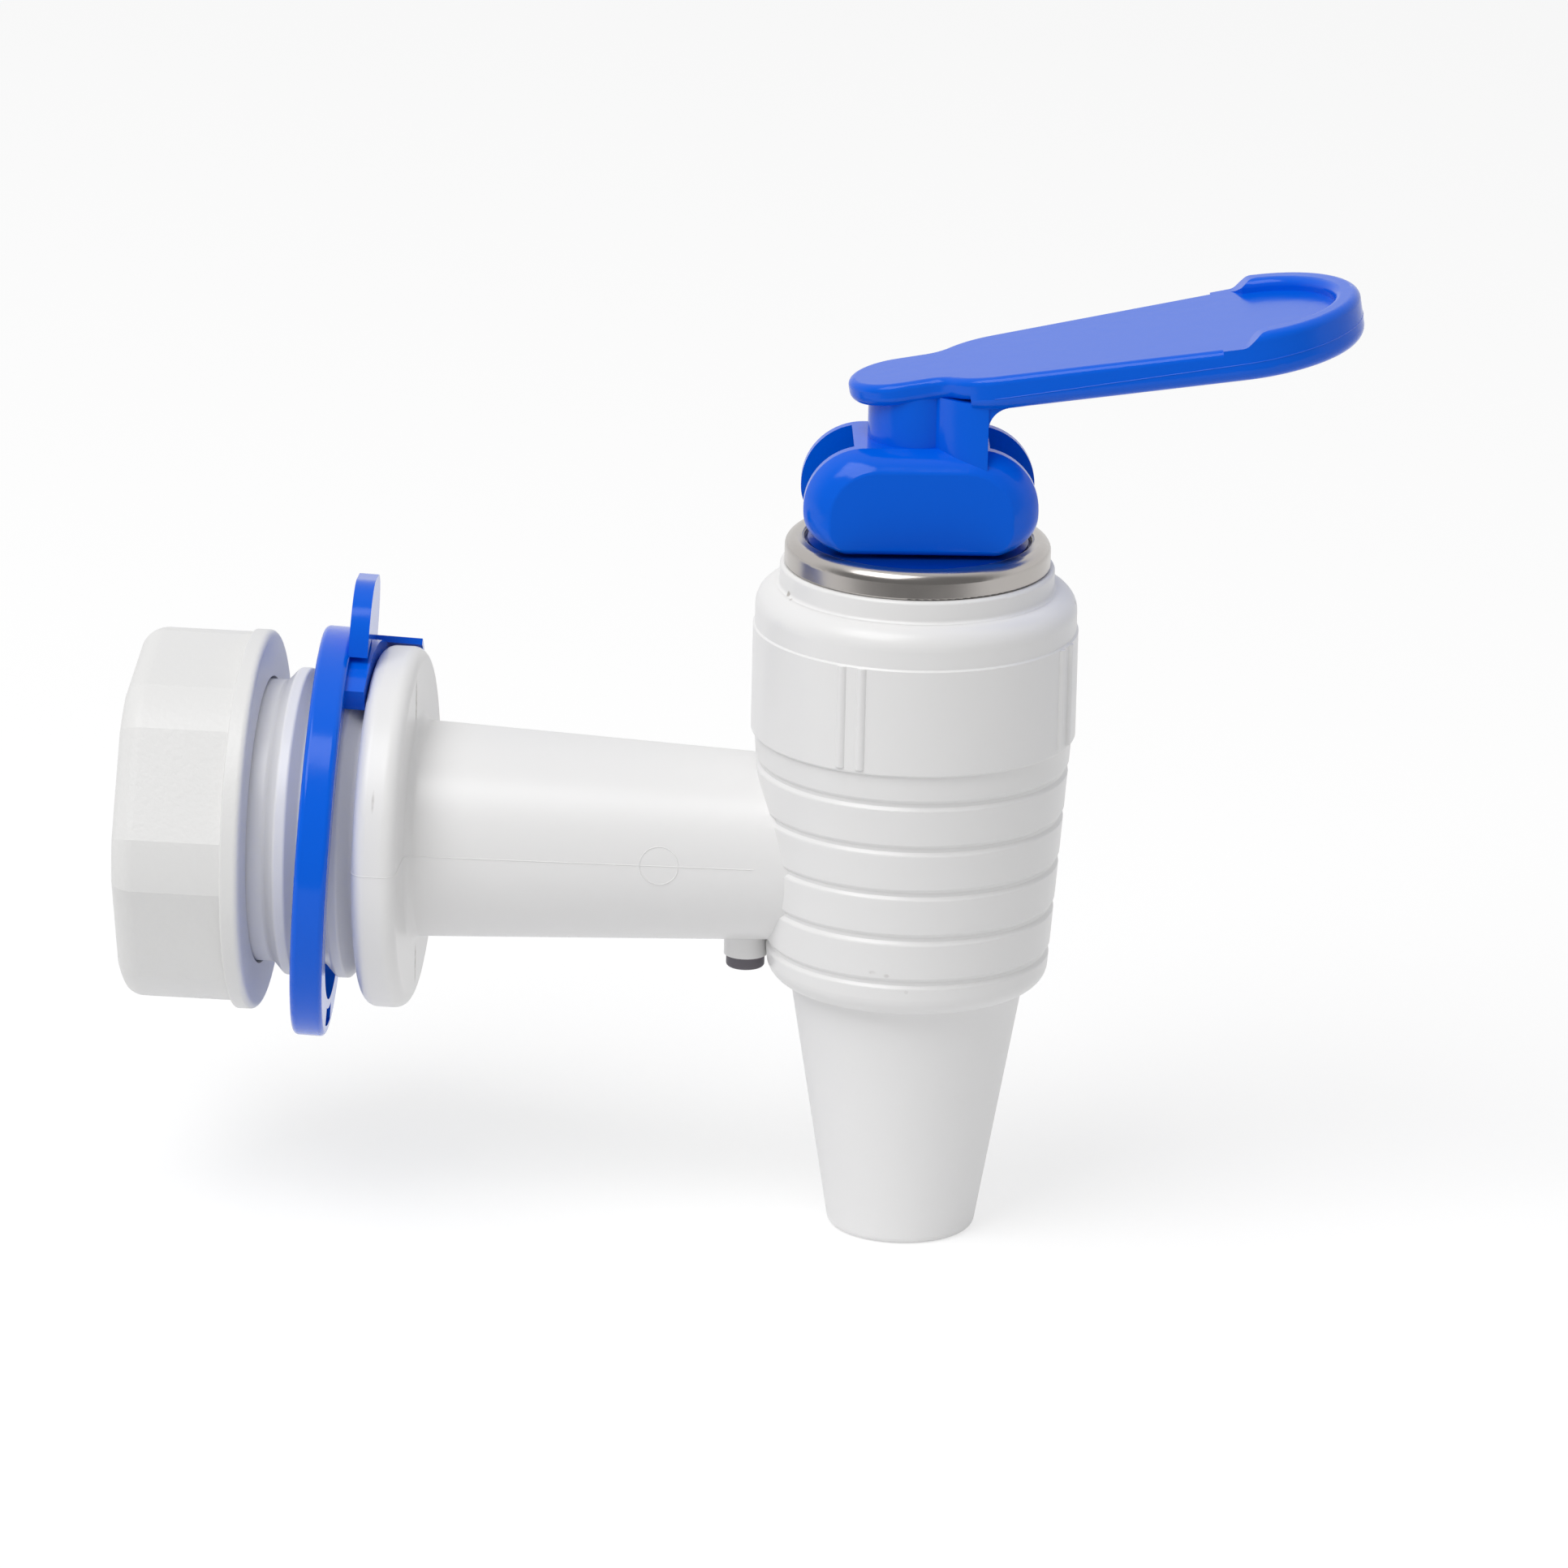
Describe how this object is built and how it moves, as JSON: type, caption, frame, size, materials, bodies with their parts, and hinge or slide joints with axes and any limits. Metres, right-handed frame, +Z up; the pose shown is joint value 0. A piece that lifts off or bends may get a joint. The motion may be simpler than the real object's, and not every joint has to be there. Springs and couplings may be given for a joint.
{
  "type": "water filter tap",
  "caption": "Dispenser tap: threaded stub with nut and tab ring, flange, tapered pipe, ribbed barrel with cone spout, steel trim ring and rocker lever.",
  "frame": {"origin": "centre of the flange's wall face, on the inlet pipe's axis", "axes": "+X along the pipe, out of the wall towards the barrel; +Z up along the barrel"},
  "size_m": [0.1034, 0.0352, 0.0837],
  "materials": {
    "white_plastic": "satin",
    "blue_plastic": "gloss",
    "steel": "polished",
    "grey_plastic": "matte",
    "silicone": "matte"
  },
  "bodies": {
    "tap": {"tap_body": "white_plastic", "vent_plug": "grey_plastic", "bonnet": "white_plastic", "stem_guide": "blue_plastic", "trim_ring": "steel", "spout": "white_plastic", "spout_seal": "silicone", "tab_washer": "blue_plastic"},
    "nut": {"mounting_nut": "white_plastic"},
    "valve": {"seat_cup": "silicone", "return_spring": "steel", "thrust_washer": "steel"},
    "stem": {"valve_stem": "white_plastic", "pivot_pin": "steel"},
    "handle": {"lever": "blue_plastic"}
  },
  "joints": [
    {"name": "nut_turn", "type": "hinge", "parent": "tap", "child": "nut", "pos_m": [-0.0155, 0, 0], "axis": [1, 0, 0], "continuous": true},
    {"name": "valve_lift", "type": "slide", "parent": "tap", "child": "valve", "axis": [0, 0, 1], "range_m": [0, 0.0024], "deforming": ["return_spring", "seat_cup"]},
    {"name": "lever_swivel", "type": "hinge", "parent": "valve", "child": "stem", "pos_m": [0.04605, 0, 0.028], "axis": [0, 0, 1], "continuous": true},
    {"name": "lever_press", "type": "hinge", "parent": "stem", "child": "handle", "pos_m": [0.04605, 0, 0.033], "axis": [-0.1305, 0.9914, 0], "range_deg": [0, 20], "stiffness_Nm_per_rad": 0.03, "springref_deg": -34.38}
  ],
  "couplings": [
    {"joint": "valve_lift", "follows": "lever_press", "m_per_rad": 0.0068}
  ]
}
